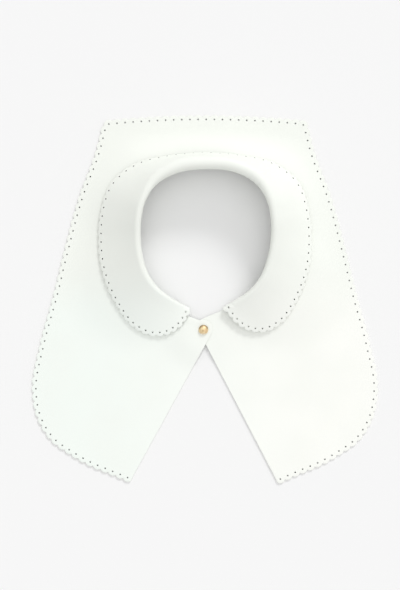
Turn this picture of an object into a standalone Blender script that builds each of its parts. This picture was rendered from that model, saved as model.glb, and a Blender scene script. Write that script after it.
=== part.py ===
"""A leather bib collar, laid on a table and closed at the front with one stud.

Sizes are in millimetres and become metres where a mesh is made. X runs to the right, Y to the
back of the neck and Z up. The bib and the collar are each one middle surface, which Solidify
turns into leather. Places round the neck are given by an angle: 0 at the back, 180 at the front,
and a side of -1 on the left and 1 on the right."""

import math

import bmesh
import bpy
import numpy as np

MM = 0.001
FULL_TURN = 360

# Where the middle of the whole outline lies, which becomes the origin
MIDDLE_X = -0.045
MIDDLE_Y = -0.24

# Leather and the gaps between pieces
LEATHER = 1.4
HALF = LEATHER / 2
GAP = 0.3

# Punched scallops along the hems: a line of holes, and a lobe outside each of them
BACK_TO_FRONT_LOBES = 127
COLLAR_HOLES = 77
LOBE_TIP = 4.0
LOBE_VALLEY = 2.1
LOBE_STEPS = 4
FROM_VALLEY = 0
FROM_TIP = 0.5

# Bib: the line of holes along its back, and down its side from the back corner to the front
BACK_LINE_Y = 170.4
BACK_LINE_ARCH = 4.6
BACK_CORNER_X = 93.6
CORNER_CUT = 2.5
SIDE_COLUMNS = ("x", "y")
SIDE_LINE = (
    (93.6, 165.8),
    (100.6, 138.2),
    (116.8, 94.1),
    (129.5, 47.8),
    (140.6, 2.4),
    (152.8, -42.5),
    (160.4, -87.2),
    (156.8, -109.3),
    (150.6, -122.6),
    (141.6, -134.0),
    (129.2, -142.8),
    (109.3, -154.4),
    (87.9, -163.4),
)
FRONT_CORNER = {-1: (69.8, -170.9), 1: (68.0, -172.4)}
BIB_ROWS = (0, 0.07, 0.18, 0.34, 0.55, 0.78, 1)

# Neck seam of the bib, by angle: its radius, its rise above the table and where the bib lands
NECK_CENTRE_Y = 57.5
NECK_COLUMNS = ("angle", "seam", "rise", "landing")
NECK = (
    (0, 67.4, 12.1, 38),
    (25, 69.4, 12.6, 44),
    (43, 72.0, 13.8, 58),
    (61, 71.2, 14.8, 62),
    (90, 66.0, 15.1, 62),
    (108, 66.3, 14.2, 80),
    (127, 67.9, 11.5, 85),
    (141, 69.3, 8.5, 72),
    (155, 71.0, 5.0, 46),
    (167, 72.0, 3.8, 30),
    (180, 74.0, 3.6, 30),
)
LANDING_EASE = 0.35
FRONT_SHIFT = {-1: 2.5, 1: -2.6}
FRONT_SHIFT_FROM = 130
FRONT_SHIFT_TO = 167

# Tabs at the front: the left one lies on the right one, and the stud goes through both
STUD_X = -1.5
STUD_Y = -29.0
TAB_RADIUS = 8.9
TAB_CENTRE = {-1: (-1.7, -28.4), 1: (2.1, -26.4)}
TAB_ARC = {-1: (-28.8, 111.0), 1: (207.5, 119.0)}
TAB_ARC_STEPS = 9
LOWER_TAB_Z = 2.0
TAB_Z = {-1: LOWER_TAB_Z + LEATHER + GAP, 1: LOWER_TAB_Z}
TAB_LEVEL_TO = 15
TAB_FADE_TO = 44
NECK_EDGE_FROM = 167

# Collar, by angle: inside of its roll, height of its crest, the roll's radius, how far above the bib
# the fall comes to rest, how far it reaches and its holes
COLLAR_COLUMNS = ("angle", "inside", "crest", "roll", "rest", "reach", "holes")
COLLAR = (
    (0, 61.7, 46.5, 5.2, 1.3, 79.6, 79.6),
    (25, 64.3, 46.3, 5.4, 1.4, 84.0, 84.0),
    (43, 66.1, 46.0, 4.8, 1.4, 93.6, 93.6),
    (61, 64.2, 45.0, 3.2, 1.3, 100.3, 100.3),
    (75, 61.7, 41.5, 3.0, 1.2, 98.8, 98.8),
    (90, 60.1, 36.0, 3.0, 1.0, 97.5, 97.5),
    (108, 60.7, 30.5, 3.0, 0.9, 98.8, 98.8),
    (127, 63.2, 25.0, 3.0, 0.7, 101.6, 101.6),
    (141, 64.2, 19.4, 3.0, 0.5, 104.5, 104.5),
    (150.5, 64.6, 14.8, 2.8, 0.5, 105.0, 101.8),
    (157, 65.2, 11.6, 2.5, 0.5, 105.0, 95.4),
    (162.3, 66.2, 9.6, 2.2, 0.6, 105.0, 84.8),
    (165.2, 67.0, 8.8, 2.1, 0.6, 105.0, 76.0),
)
ROLL_LEAN = 0.12
CREST_ASIDE = 1.0
CREST_ASIDE_TO = 112.5
TIP_ANGLE = {-1: 165.2, 1: 161.6}
TIP_SWING = {-1: 1.8, 1: 3.2}
TIP_SWING_LOBES = 9
TIP_MARGIN = 1.2
TIP_NARROW = 0.21
TIP_NARROW_LOBES = 26
TIP_MARGIN_LOBES = 4
ROLL_STEPS = 6
FALL_STEPS = 3
SEAM_ASIDE = 0.7
SLOPE_ROUNDS = 12

# Stud: a domed head with a post through both tabs, and a flat screw below them
HEAD_RADIUS = 4.55
HEAD_RIM = 0.8
HEAD_HEIGHT = 3.3
HEAD_STEPS = 6
POST_RADIUS = 1.5
POST_HOLE_RADIUS = 1.8
BACK_RADIUS = 4.5
BACK_THICKNESS = 0.9
STUD_SIDES = 32
CUT_MARGIN = 2.0
MERGE = 0.01

LINE_POINTS = 600
SHARP_ANGLE = 40

# Looks of the pieces
LOOKS = {
    "bib": {"colour": (0.86, 0.87, 0.85), "roughness": 0.55, "metallic": 0},
    "collar": {"colour": (0.86, 0.87, 0.85), "roughness": 0.55, "metallic": 0},
    "stud_head": {"colour": (0.85, 0.66, 0.36), "roughness": 0.3, "metallic": 1},
    "stud_back": {"colour": (0.85, 0.66, 0.36), "roughness": 0.3, "metallic": 1},
}


def table(columns, rows, name):
    """One named column of a table."""
    return np.array([row[columns.index(name)] for row in rows], float)


def smooth(at, places, values):
    """A cubic curve through the values, its slope at each place from the neighbours on both sides."""
    slopes = np.gradient(values, places)
    i = np.clip(np.searchsorted(places, at) - 1, 0, len(places) - 2)
    width = places[i + 1] - places[i]
    t = (at - places[i]) / width
    start = values[i] * (1 + 2 * t) * (1 - t) ** 2 + width * slopes[i] * t * (1 - t) ** 2
    end = values[i + 1] * t**2 * (3 - 2 * t) - width * slopes[i + 1] * t**2 * (1 - t)
    return start + end


def ring(columns, rows, name, angle):
    """A column of a table round the neck, level where it crosses the back."""
    places = table(columns, rows, "angle")
    values = table(columns, rows, name)
    places = np.concatenate([-places[:0:-1], places])
    values = np.concatenate([values[:0:-1], values])
    return smooth(np.minimum(angle, places[-1]), places, values)


def eased(x):
    """0 below 0, 1 above 1, and an even rise between."""
    x = np.clip(x, 0, 1)
    return x * x * (3 - 2 * x)


def along(line):
    """The length along a line up to each of its points."""
    return np.concatenate([[0], np.cumsum(np.linalg.norm(np.diff(line, axis=0), axis=1))])


def spaced(line, count, widths=1):
    """The line again, with this many points: the same distance apart, or in these proportions."""
    length = along(line)
    at = np.concatenate([[0], np.cumsum(np.broadcast_to(widths, count - 1))])
    return np.stack([np.interp(at * length[-1] / at[-1], length, axis) for axis in line.T], axis=1)


def through(points):
    """A smooth line through a few points."""
    places = along(points)
    at = np.linspace(0, places[-1], LINE_POINTS)
    return np.stack([smooth(at, places, axis) for axis in points.T], axis=1)


def polar(angle, radius, side):
    """The plan position at an angle round the neck."""
    turn = np.radians(angle)
    return np.stack([side * radius * np.sin(turn), NECK_CENTRE_Y + radius * np.cos(turn)], axis=-1)


def place(points, side):
    """The angle and radius of plan positions, past 180 where a tab reaches over the middle."""
    x, y = side * points[..., 0], points[..., 1] - NECK_CENTRE_Y
    angle = np.degrees(np.arctan2(x, y))
    return np.where(angle < -FULL_TURN / 4, angle + FULL_TURN, angle), np.hypot(x, y)


def seam_radius(angle, side):
    """Radius of the neck seam, the left front lower on the neck than the right one."""
    front = eased((angle - FRONT_SHIFT_FROM) / (FRONT_SHIFT_TO - FRONT_SHIFT_FROM))
    return ring(NECK_COLUMNS, NECK, "seam", angle) + FRONT_SHIFT[side] * front


def bib_height(points, side):
    """Height of the bib's middle: it slopes from the neck to where it lands, and its tab is level."""
    angle, radius = place(points, side)
    landing = ring(NECK_COLUMNS, NECK, "landing", angle)
    left = 1 - np.clip((radius - seam_radius(angle, side)) / landing, 0, 1)
    full = 1 - LANDING_EASE / 2
    slope = np.where(left > LANDING_EASE, left - LANDING_EASE / 2, left**2 / (2 * LANDING_EASE)) / full
    neck = ring(NECK_COLUMNS, NECK, "rise", angle) * slope
    away = np.hypot(points[..., 0] - STUD_X, points[..., 1] - STUD_Y)
    level = 1 - eased((away - TAB_LEVEL_TO) / (TAB_FADE_TO - TAB_LEVEL_TO))
    return HALF + (1 - level) * neck + level * (TAB_Z[side] - HALF)


def hem_half(side):
    """The bib's line of holes on one side, from the middle of the back to the front corner."""
    x = np.linspace(0, BACK_CORNER_X, LINE_POINTS)
    back = np.stack([x, BACK_LINE_Y - BACK_LINE_ARCH * (x / BACK_CORNER_X) ** 2], axis=1)
    rows = (*SIDE_LINE, FRONT_CORNER[side])
    sides = through(np.stack([table(SIDE_COLUMNS, rows, name) for name in SIDE_COLUMNS], axis=1))
    corner = sides[0]
    back = back[np.linalg.norm(back - corner, axis=1) > CORNER_CUT]
    sides = sides[np.linalg.norm(sides - corner, axis=1) > CORNER_CUT]
    t = np.linspace(0, 1, LOBE_STEPS * 2)[:, None]
    bend = back[-1] * (1 - t) ** 2 + corner * 2 * t * (1 - t) + sides[0] * t**2
    line = np.concatenate([back[:-1], bend, sides[1:]])
    return line * np.array([side, 1])


def collar_half(side):
    """The collar's line of holes on one side, from the middle of the back to the front tip."""
    angle = table(COLLAR_COLUMNS, COLLAR, "angle")
    turned = angle * TIP_ANGLE[side] / angle[-1]
    return through(polar(turned, table(COLLAR_COLUMNS, COLLAR, "holes"), side))


def lobe_widths(count, steps):
    """How wide each step along the collar's hem is: the lobes grow from both tips to the sides."""
    step = np.arange(count) + 0.5
    from_tip = np.minimum(step, count - step) / steps
    return 1 - TIP_NARROW * (1 - eased(from_tip / TIP_NARROW_LOBES))


def whole(half):
    """Both halves of a line as one, from the left front round the back to the right front."""
    return np.concatenate([half(-1)[::-1], half(1)[1:]])


def outward(line):
    """Unit normals on the left of a line, which is outside on a line that goes round the back."""
    step = np.gradient(line, axis=0)
    step /= np.linalg.norm(step, axis=1)[:, None]
    return np.stack([-step[:, 1], step[:, 0]], axis=1)


def lobes(line, count, start):
    """How far the scalloped edge stands outside its line of holes: equal arcs, valley to valley.

    The line starts FROM_VALLEY, or FROM_TIP, in the middle of an arc."""
    half = along(line)[-1] / count / 2
    deep = LOBE_TIP - LOBE_VALLEY
    radius = (half**2 + deep**2) / (2 * deep)
    share = (np.arange(count * LOBE_STEPS + 1) / LOBE_STEPS + start) % 1
    across = (share - FROM_TIP) * 2 * half
    return np.sqrt(radius**2 - across**2) - radius + LOBE_TIP


def neck_edge(side):
    """Inner edge of one front of the bib: round its tab and up the neck to the middle of the back."""
    first, last = TAB_ARC[side]
    turn = np.radians(np.linspace(first, last, TAB_ARC_STEPS))
    tab = TAB_CENTRE[side] + TAB_RADIUS * np.stack([np.cos(turn), np.sin(turn)], axis=1)
    angle = np.linspace(NECK_EDGE_FROM, 0, LINE_POINTS)
    neck = polar(angle, seam_radius(angle, side) + SEAM_ASIDE, side)
    return np.concatenate([tab, neck])


def sheet(name, rows, edge):
    """A surface from rows of points, closed with one face a lobe along the scalloped edge."""
    mesh = bmesh.new()
    grid = [[mesh.verts.new(point) for point in row * MM] for row in rows]
    rim = [mesh.verts.new(point) for point in edge * MM]
    for near, far in zip(grid, grid[1:]):
        for k in range(len(near) - 1):
            mesh.faces.new((near[k], near[k + 1], far[k + 1], far[k]))
    last = grid[-1]
    for k in range(len(last) - 1):
        lobe = rim[k * LOBE_STEPS : (k + 1) * LOBE_STEPS + 1]
        mesh.faces.new((last[k], last[k + 1], *reversed(lobe)))
    bmesh.ops.recalc_face_normals(mesh, faces=mesh.faces)
    if mesh.faces[0].normal.z < 0:
        bmesh.ops.reverse_faces(mesh, faces=mesh.faces)
    data = bpy.data.meshes.new(name)
    mesh.to_mesh(data)
    mesh.free()
    return bpy.data.objects.new(name, data)


def leather_wall(obj):
    """Solidify, the same thickness on both sides of the surface."""
    wall = obj.modifiers.new("wall", "SOLIDIFY")
    wall.thickness = LEATHER * MM
    wall.offset = 0
    wall.use_even_offset = True


def bib():
    """Back, shoulders and fronts in one piece, with both tabs."""
    line = spaced(whole(hem_half), BACK_TO_FRONT_LOBES + 1)
    fine = spaced(whole(hem_half), BACK_TO_FRONT_LOBES * LOBE_STEPS + 1)
    edge = fine + outward(fine) * lobes(fine, BACK_TO_FRONT_LOBES, FROM_VALLEY)[:, None]
    neck = spaced(np.concatenate([neck_edge(-1), neck_edge(1)[-2::-1]]), BACK_TO_FRONT_LOBES + 1)
    rows = [neck + (line - neck) * share for share in BIB_ROWS]
    return sheet("bib", [on_bib(row) for row in rows], on_bib(edge))


def on_bib(row):
    """A row of plan positions from the left front to the right one, put at the bib's height."""
    left = np.arange(len(row)) < len(row) / 2
    height = np.where(left, bib_height(row, -1), bib_height(row, 1))
    return np.concatenate([row, height[:, None]], axis=1)


def fall(angle, side):
    """The roll's centre and radius, and the slope of the fall, which comes to rest on the bib."""
    roll = ring(COLLAR_COLUMNS, COLLAR, "roll", angle * (1 - ROLL_LEAN * side))
    aside = side * CREST_ASIDE * np.sin(math.pi * np.minimum(angle, CREST_ASIDE_TO) / CREST_ASIDE_TO)
    centre_r = ring(COLLAR_COLUMNS, COLLAR, "inside", angle) + roll + HALF + aside
    centre_z = ring(COLLAR_COLUMNS, COLLAR, "crest", angle) - roll - HALF
    above = ring(COLLAR_COLUMNS, COLLAR, "rest", angle) + LEATHER
    slope = np.zeros_like(angle)
    for _ in range(SLOPE_ROUNDS):
        edge_r = ring(COLLAR_COLUMNS, COLLAR, "reach", angle) + LOBE_TIP * np.cos(slope)
        rest_z = bib_height(polar(angle, edge_r, side), side) + above
        away_r, away_z = edge_r - centre_r, rest_z - centre_z
        slope = np.arctan2(away_r, away_z) - np.arccos(roll / np.hypot(away_r, away_z))
    return centre_r, centre_z, roll, slope


def on_fall(points, side):
    """Plan positions put at the height of the collar's fall."""
    angle, radius = place(points, side)
    centre_r, centre_z, roll, slope = fall(angle, side)
    height = centre_z + (roll - (radius - centre_r) * np.sin(slope)) / np.cos(slope)
    return np.concatenate([points, height[:, None]], axis=1)


def both_sides(put, points):
    """A row from the left front to the right one, with each half put at its own side's height."""
    middle = len(points) // 2
    return np.concatenate([put(points[:middle], -1), put(points[middle:], 1)])


def stand_and_roll(angle, side):
    """Rows from the neck seam up the stand and over the roll, to where the fall starts."""
    centre_r, centre_z, roll, slope = fall(angle, side)
    foot_r = seam_radius(angle, side) - SEAM_ASIDE
    foot_z = bib_height(polar(angle, foot_r, side), side) - HALF
    away_r, away_z = foot_r - centre_r, foot_z - centre_z
    far = np.maximum(np.hypot(away_r, away_z), roll)
    below = np.arctan2(away_r, away_z) % (2 * math.pi) - 2 * math.pi
    first = below + np.arccos(roll / far)
    rows = [(foot_r, foot_z)]
    for share in np.linspace(0, 1, ROLL_STEPS + 1):
        turn = first + (slope - first) * share
        rows.append((centre_r + roll * np.sin(turn), centre_z + roll * np.cos(turn)))
    return [np.concatenate([polar(angle, r, side), z[:, None]], axis=1) for r, z in rows]


def collar():
    """Stand and fall in one piece, rolled over and lying on the bib."""
    lengths = COLLAR_HOLES - 1
    steps = lengths * LOBE_STEPS
    fine = spaced(whole(collar_half), steps + 1, lobe_widths(steps, LOBE_STEPS))
    line = fine[::LOBE_STEPS]
    from_tip = np.minimum(np.arange(len(line)), np.arange(len(line))[::-1])
    margin = TIP_MARGIN * (1 - eased(from_tip / TIP_MARGIN_LOBES))
    inner = line + outward(fine)[::LOBE_STEPS] * margin[:, None]
    middle = len(line) // 2
    halves = []
    for side, part in ((-1, slice(0, middle)), (1, slice(middle, None))):
        angle, radius = place(inner[part], side)
        swing = TIP_SWING[side] * (1 - eased(from_tip[part] / TIP_SWING_LOBES))
        base = place(line[part], side)[0] + swing
        rows = stand_and_roll(base, side)
        start = place(rows[-1], side)[1]
        for share in np.linspace(0, 1, FALL_STEPS + 1)[1:]:
            plan = polar(base + (angle - base) * share, start + (radius - start) * share, side)
            rows.append(on_fall(plan, side))
        halves.append(rows)
    rows = [np.concatenate(pair) for pair in zip(*halves)]
    edge = fine + outward(fine) * (lobes(fine, lengths, FROM_TIP) * in_plan(fine))[:, None]
    return sheet("collar", rows, both_sides(on_fall, edge))


def in_plan(line):
    """How much a length square to the collar's line shortens in plan, where the fall is steep."""
    steep = both_sides(lambda part, side: fall(place(part, side)[0], side)[-1], line)
    away = line - np.array([0, NECK_CENTRE_Y])
    facing = np.sum(outward(line) * away, axis=1) / np.linalg.norm(away, axis=1)
    return 1 / np.sqrt(1 + (facing * np.tan(steep)) ** 2)


def cylinder(name, radius, low, high):
    """An upright cylinder at the stud's place."""
    mesh = bmesh.new()
    bmesh.ops.create_cone(
        mesh,
        cap_ends=True,
        segments=STUD_SIDES,
        radius1=radius * MM,
        radius2=radius * MM,
        depth=(high - low) * MM,
    )
    data = bpy.data.meshes.new(name)
    mesh.to_mesh(data)
    mesh.free()
    obj = bpy.data.objects.new(name, data)
    obj.location = (STUD_X * MM, STUD_Y * MM, (low + high) / 2 * MM)
    return obj


def stud_head():
    """The domed head and its post, turned from one profile."""
    seat = TAB_Z[-1] + HALF + GAP
    foot = LOWER_TAB_Z - HALF
    profile = [(0, seat + HEAD_HEIGHT)]
    for turn in np.linspace(0, math.pi / 2, HEAD_STEPS)[1:]:
        rise = (HEAD_HEIGHT - HEAD_RIM) * math.cos(turn)
        profile.append((HEAD_RADIUS * math.sin(turn), seat + HEAD_RIM + rise))
    profile += [(HEAD_RADIUS, seat), (POST_RADIUS, seat), (POST_RADIUS, foot), (0, foot)]
    data = bpy.data.meshes.new("stud_head")
    points = [(r * MM, 0, z * MM) for r, z in profile]
    data.from_pydata(points, [(i, i + 1) for i in range(len(points) - 1)], [])
    obj = bpy.data.objects.new("stud_head", data)
    obj.location = (STUD_X * MM, STUD_Y * MM, 0)
    turned = obj.modifiers.new("turned", "SCREW")
    turned.steps = STUD_SIDES
    turned.render_steps = STUD_SIDES
    turned.use_merge_vertices = True
    turned.merge_threshold = MERGE * MM
    return obj


def stud_back():
    """The flat screw that holds the post from below."""
    high = LOWER_TAB_Z - HALF - GAP
    return cylinder("stud_back", BACK_RADIUS, high - BACK_THICKNESS, high)


def centre(obj):
    """Moves an object so that the middle of the whole outline is the origin."""
    obj.location.x -= MIDDLE_X * MM
    obj.location.y -= MIDDLE_Y * MM


def finish(obj, collection):
    """Puts a piece in its place and its collection, with its own material."""
    centre(obj)
    collection.objects.link(obj)
    look = LOOKS[obj.name]
    material = bpy.data.materials.new(obj.name)
    material.use_nodes = True
    shader = material.node_tree.nodes["Principled BSDF"]
    shader.inputs["Base Color"].default_value = (*look["colour"], 1)
    shader.inputs["Roughness"].default_value = look["roughness"]
    shader.inputs["Metallic"].default_value = look["metallic"]
    obj.data.materials.append(material)
    obj.data.shade_smooth()
    obj.data.set_sharp_from_angle(angle=math.radians(SHARP_ANGLE))


def main():
    for obj in list(bpy.data.objects):
        bpy.data.objects.remove(obj, do_unlink=True)
    parts = bpy.data.collections.new("leather_bib_collar")
    cutters = bpy.data.collections.new("cutters")
    for collection in (parts, cutters):
        bpy.context.scene.collection.children.link(collection)

    panel = bib()
    turned_down = collar()
    for piece in (panel, turned_down):
        leather_wall(piece)
    for piece in (panel, turned_down, stud_head(), stud_back()):
        finish(piece, parts)

    hole = cylinder("post_hole", POST_HOLE_RADIUS, -CUT_MARGIN, TAB_Z[-1] + HALF + CUT_MARGIN)
    hole.display_type = "WIRE"
    hole.hide_render = True
    centre(hole)
    cutters.objects.link(hole)
    cut = panel.modifiers.new("post_hole", "BOOLEAN")
    cut.operation = "DIFFERENCE"
    cut.object = hole


main()
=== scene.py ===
"""Looks of the leather bib collar: two scalloped and punched leather panels, their seam and the stud.

Sizes are in millimetres and become metres where a mesh is made. X runs to the right, Y to the back
of the neck and Z up from the table. Places round the neck are given by an angle: 0 at the back, 180
at the front, and a side of -1 on the left and 1 on the right. A leather panel is one middle surface
on a grid, and Solidify gives it its thickness."""

import math

import bmesh
import bpy
import numpy as np
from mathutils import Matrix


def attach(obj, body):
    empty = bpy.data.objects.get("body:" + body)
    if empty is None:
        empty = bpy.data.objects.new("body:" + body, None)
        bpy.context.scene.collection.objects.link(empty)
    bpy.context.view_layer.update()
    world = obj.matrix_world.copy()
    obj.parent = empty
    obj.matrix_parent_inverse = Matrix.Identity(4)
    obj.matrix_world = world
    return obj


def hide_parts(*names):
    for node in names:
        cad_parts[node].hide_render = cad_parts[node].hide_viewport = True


MM = 0.001
FULL_TURN = 360

# Where the middle of the whole outline lies, which is the origin of the frame
OUTLINE_MIDDLE = (-0.045, -0.24)

# Leather, the gap between pieces, and the rounding of the cut edges
LEATHER = 1.4
HALF = LEATHER / 2
GAP = 0.3
EDGE_ROUND = 0.16
EDGE_ROUND_STEPS = 2
EDGE_ANGLE = 50

# Punched scallops along the hems: a row of holes, and a lobe outside each of them. A hem cell is the
# leather round one hole, from the hem's depth inside the row of holes to the edge of the lobe
BIB_LOBES = 127
COLLAR_LOBES = 77
LOBE_TIP = 4.0
LOBE_VALLEY = 2.1
HOLE_RADIUS = 0.74
HEM_DEPTH = 4.6
HEM_STEPS = 4
SIDE_STEPS = 4
LOBE_ARC_STEPS = 12
HEM_RINGS = (0, 0.1, 0.42, 1)
LINE_STEPS = HEM_STEPS * 4

# Bib: the line of holes along its back, and down its side from the back corner to the front
BACK_LINE_Y = 170.4
BACK_LINE_ARCH = 4.6
BACK_CORNER_X = 93.6
CORNER_CUT = 2.5
SIDE_COLUMNS = ("x", "y")
SIDE_LINE = (
    (93.6, 165.8),
    (100.6, 138.2),
    (116.8, 94.1),
    (129.5, 47.8),
    (140.6, 2.4),
    (152.8, -42.5),
    (160.4, -87.2),
    (156.8, -109.3),
    (150.6, -122.6),
    (141.6, -134.0),
    (129.2, -142.8),
    (109.3, -154.4),
    (87.9, -163.4),
)
FRONT_CORNER = {-1: (69.8, -170.9), 1: (68.0, -172.4)}
BIB_ROWS = 26
BIB_ROWS_EASE = 1.2

# Neck seam of the bib, by angle: its radius, its rise above the table and where the bib lands
NECK_CENTRE_Y = 57.5
NECK_COLUMNS = ("angle", "seam", "rise", "landing")
NECK = (
    (0, 67.4, 12.1, 38),
    (25, 69.4, 12.6, 44),
    (43, 72.0, 13.8, 58),
    (61, 71.2, 14.8, 62),
    (90, 66.0, 15.1, 62),
    (108, 66.3, 14.2, 80),
    (127, 67.9, 11.5, 85),
    (141, 69.3, 8.5, 72),
    (155, 71.0, 5.0, 46),
    (167, 72.0, 3.8, 30),
    (180, 74.0, 3.6, 30),
)
LANDING_EASE = 0.35
FRONT_SHIFT = {-1: 2.5, 1: -2.6}
FRONT_SHIFT_FROM = 130
FRONT_SHIFT_TO = 167

# How far the bib's edge and the foot of the collar lie on either side of the seam
BIB_ASIDE = 0.8
COLLAR_ASIDE = 0.35

# Tabs at the front: the left one lies on the right one, and the stud goes through both
STUD_X = -1.5
STUD_Y = -29.0
TAB_RADIUS = 8.9
TAB_CENTRE = {-1: (-1.7, -28.4), 1: (2.1, -26.4)}
TAB_ARC = {-1: (-28.8, 111.0), 1: (207.5, 119.0)}
TAB_ARC_STEPS = 40
LOWER_TAB_Z = 2.0
TAB_Z = {-1: LOWER_TAB_Z + LEATHER + GAP, 1: LOWER_TAB_Z}
TAB_LEVEL_TO = 15
TAB_FADE_TO = 44
NECK_EDGE_FROM = 167

# Collar, by angle: inside of its roll, height of its crest, the roll's radius, how far above the bib
# the fall comes to rest, how far it reaches and its holes
COLLAR_COLUMNS = ("angle", "inside", "crest", "roll", "rest", "reach", "holes")
COLLAR = (
    (0, 61.7, 46.5, 5.2, 1.3, 79.6, 79.6),
    (25, 64.3, 46.3, 5.4, 1.4, 84.0, 84.0),
    (43, 66.1, 46.0, 4.8, 1.4, 93.6, 93.6),
    (61, 64.2, 45.0, 3.2, 1.3, 100.3, 100.3),
    (75, 61.7, 41.5, 3.0, 1.2, 98.8, 98.8),
    (90, 60.1, 36.0, 3.0, 1.0, 97.5, 97.5),
    (108, 60.7, 30.5, 3.0, 0.9, 98.8, 98.8),
    (127, 63.2, 25.0, 3.0, 0.7, 101.6, 101.6),
    (141, 64.2, 19.4, 3.0, 0.5, 104.5, 104.5),
    (150.5, 64.6, 14.8, 2.8, 0.5, 105.0, 101.8),
    (157, 65.2, 11.6, 2.5, 0.5, 105.0, 95.4),
    (162.3, 66.2, 9.6, 2.2, 0.6, 105.0, 84.8),
    (165.2, 67.0, 8.8, 2.1, 0.6, 105.0, 72.6),
    (166.0, 67.3, 8.7, 2.1, 0.6, 105.0, 68.6),
)
SLOPE_ROUNDS = 14

# The wide part of the roll reaches further round on the right, and the crest lies to the right
ROLL_LEAN = 0.12
CREST_ASIDE = 1.0
CREST_ASIDE_TO = 112.5

# Tips of the collar: their angle, how far the row of holes is pulled in, how far the edge stands
# further out than the lobes do, and by what share the lobes narrow over the last ones
TIP_ANGLE = {-1: 166.0, 1: 161.6}
TIP_PULL = {-1: 0.0, 1: 2.6}
TIP_PULL_FROM = 150
TIP_MARGIN = {-1: 0.0, 1: 1.8}
TIP_MARGIN_LOBES = 1.6
TIP_NARROW = 0.21
TIP_NARROW_LOBES = 26

# Rows of the collar's grid, and the greatest shares at which the roll starts on the way to its own
# end, and ends on the way to the hem
STAND_ROWS = 8
ROLL_ROWS = 12
FALL_ROWS = 18
TO_ROLL_START = 0.86
TO_ROLL_END = 0.82

# Small creases across the roll, right of the back
CREASE_ANGLE = 41
CREASE_SPREAD = 9
CREASE_PITCH = 4.6
CREASE_DEPTH = 0.28

# Stud: a domed head on a rim, turned
HEAD_RADIUS = 4.55
HEAD_RIM = 0.8
HEAD_HEIGHT = 3.3
HEAD_CREST_STEPS = 28
RIM_ROUND = 0.35
RIM_STEPS = 5
POST_RADIUS = 1.5
STUD_SIDES = 96
SHARP_ANGLE = 40

# Stitches that hold the stand to the bib
STITCH_PITCH = 3.6
STITCH_LENGTH = 2.5
STITCH_RADIUS = 0.26
STITCH_ABOVE = 2.4
STITCH_PROUD = 0.1
STITCH_DIP = 0.5
STITCH_BLUNT = 0.1
STITCH_FROM_TIP = 2.0
STITCH_RINGS = 9
STITCH_SIDES = 8

# Points of a finely drawn line, and the distance within which doubles are merged
LINE_POINTS = 900
MERGE = 0.004

# Tones of the leather: the back, the fronts with painted light on the right and painted shade on the
# left, as the lamp at the back right falls on them, and a slow drift to a deeper tone. Their places
# are in metres, and a scale is how often a noise changes in a metre
LEATHER_BACK = (0.882, 0.904, 0.852, 1)
LEATHER_PAINTED_LIGHT_RIGHT = (0.94, 0.945, 0.9, 1)
LEATHER_PAINTED_SHADE_LEFT = (0.872, 0.92, 0.874, 1)
LEATHER_SHADE = (0.85, 0.87, 0.82, 1)
FRONT_STARTS = 0.04
FRONT_FULL = -0.02
SHADE_LEFT_STARTS = 0.12
SHADE_LEFT_FULL = -0.12
DRIFT_SCALE = 14
DRIFT_STARTS = 0.35
DRIFT_FULL = 0.7
DRIFT_SHARE = 0.35
LEATHER_ROUGH = 0.4
DRIFT_ROUGH = 0.12
GROOVE_ROUGH = 0.06
LEATHER_SHEEN = 0.35

# Grain of the leather: cells whose places are bent, the grooves between them as a share of a cell,
# pores and slow waves. Cell, bend and depth are in metres
GRAIN_CELL = 0.0011
GRAIN_BEND = 0.0004
BEND_SCALE = 420
GROOVE = 0.16
PORE_SCALE = 3600
PORE_SHARE = 0.3
WAVE_SCALE = 60
WAVE_SHARE = 0.8
GRAIN_DEPTH = 0.00006
GRAIN_STRENGTH = 0.35

# Cut edges of the leather and their fibres, and painted shade, nearly black, inside a hole
EDGE_PALE = (0.86, 0.86, 0.82, 1)
EDGE_FIBRE = (0.72, 0.71, 0.66, 1)
HOLE_PAINTED_SHADE = (0.012, 0.012, 0.011, 1)
HOLE_SHADE_STARTS = 0.4
HOLE_SHADE_FULL = 0.9
FIBRE_SCALE = 1900
FIBRE_DEPTH = 0.00012
FIBRE_STRENGTH = 0.4
EDGE_ROUGH = 0.75
FIBRE_ROUGH = 0.15
EDGE_SHEEN = 0.2

# Thread, and its twist, with painted shade in its grooves
THREAD_WHITE = (0.9, 0.9, 0.87, 1)
THREAD_SHADE = (0.7, 0.7, 0.66, 1)
TWIST_SCALE = 900
TWIST_WOBBLE = 1.5
TWIST_DEPTH = 0.00008
TWIST_STRENGTH = 0.5
THREAD_ROUGH = 0.6
TWIST_ROUGH = 0.1

# Gold plate, with its places in millimetres from the stud's axis: patches of a deeper tone, a painted
# dark reflection in one spot and along the back rim, a painted bright reflection along the front rim,
# and the lines of a brush
GOLD_PALE = (0.94, 0.77, 0.48, 1)
GOLD_DEEP = (0.82, 0.62, 0.38, 1)
GOLD_REFLECTED_DARK = (0.5, 0.35, 0.18, 1)
GOLD_RIM_REFLECTED_DARK = (0.5, 0.37, 0.21, 1)
GOLD_REFLECTED_BRIGHT = (0.98, 0.86, 0.68, 1)
PATCH_SCALE = 0.33
PATCH_STARTS = 0.4
PATCH_FULL = 0.65
DARK_REFLECTION_SPOT = (-0.5, -0.9, 0)
SPOT_STARTS = 2.4
SPOT_FULL = 0.4
SPOT_SHARE = 0.75
RIM_STARTS = 2.9
RIM_FULL = 4.0
RIM_PATCHES = 0.6
BACK_STARTS = 0.0
BACK_FULL = 2.0
BRUSH_SCALE = 6.5
BRUSH_DEPTH = 0.00003
BRUSH_STRENGTH = 0.25
GOLD_ROUGH = 0.52
PATCH_ROUGH = 0.12

# Table
TABLE_LOW = (0.881, 0.881, 0.881, 1)
TABLE_HIGH = (0.889, 0.889, 0.889, 1)
TABLE_SCALE = 700
TABLE_ROUGH = 0.85
TABLE_SHEEN = 0.1
TABLE_SIZE = 60000
TABLE_BELOW = 0.2

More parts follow.
